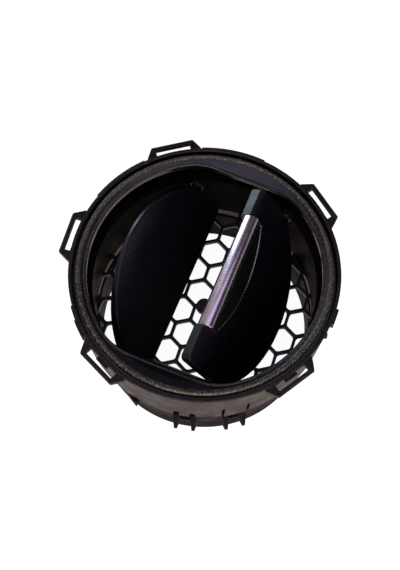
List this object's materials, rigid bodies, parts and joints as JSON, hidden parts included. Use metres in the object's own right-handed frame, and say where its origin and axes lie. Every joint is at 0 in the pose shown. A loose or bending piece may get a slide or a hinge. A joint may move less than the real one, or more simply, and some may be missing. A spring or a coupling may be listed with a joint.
{
  "type": "round dashboard air vent",
  "caption": "Round dashboard air vent with a turning barrel, coupled vanes, a handle, a honeycomb grille and a duct spigot.",
  "frame": {"origin": "on the vent axis at the open rear end of the duct spigot", "axes": "+Z along the vent axis out of the face, towards the passenger; +Y the upper side of the face as pictured"},
  "size_m": [0.1039, 0.1044, 0.0661],
  "materials": {
    "housing_black": "fine matt grain",
    "bezel_grain": "moulded grain",
    "barrel_black": "satin",
    "vane_black": "satin gloss",
    "satin_chrome": "satin plated",
    "inlay_black": "gloss",
    "bearing_plastic": "natural, self-lubricating",
    "soft_ring": "soft"
  },
  "bodies": {
    "housing": {"front_ring": "housing_black", "rear_housing": "housing_black", "honeycomb_grille": "housing_black"},
    "barrel": {"barrel_body": "barrel_black", "bezel_ring": "bezel_grain", "barrel_friction_ring": "soft_ring", "right_top_bush": "bearing_plastic", "left_top_bush": "bearing_plastic", "right_low_bush": "bearing_plastic", "left_low_bush": "bearing_plastic"},
    "right_flap": {"right_vane": "vane_black", "handle_trim": "satin_chrome", "handle_inlay": "inlay_black", "right_crank": "bearing_plastic"},
    "left_flap": {"left_vane": "vane_black", "left_crank": "bearing_plastic"},
    "link": {"link_bar": "bearing_plastic"}
  },
  "joints": [
    {"name": "barrel_spin", "type": "hinge", "parent": "housing", "child": "barrel", "pos_m": [0, 0, 0.047], "axis": [0, 0, 1], "continuous": true},
    {"name": "vane_tilt", "type": "hinge", "parent": "barrel", "child": "right_flap", "pos_m": [0.01697, -0.00686, 0.047], "axis": [0.3746, 0.9272, 0], "range_deg": [-52.8, 35.2]},
    {"name": "left_vane_tilt", "type": "hinge", "parent": "barrel", "child": "left_flap", "pos_m": [-0.01697, 0.00686, 0.047], "axis": [0.3746, 0.9272, 0], "range_deg": [-52.8, 35.2]},
    {"name": "link_pivot", "type": "hinge", "parent": "right_flap", "child": "link", "pos_m": [0.0176, -0.00711, 0.05094], "axis": [0.3746, 0.9272, 0], "range_deg": [-35.2, 52.8]}
  ],
  "couplings": [
    {"joint": "left_vane_tilt", "follows": "vane_tilt", "ratio": 1},
    {"joint": "link_pivot", "follows": "vane_tilt", "ratio": -1}
  ]
}
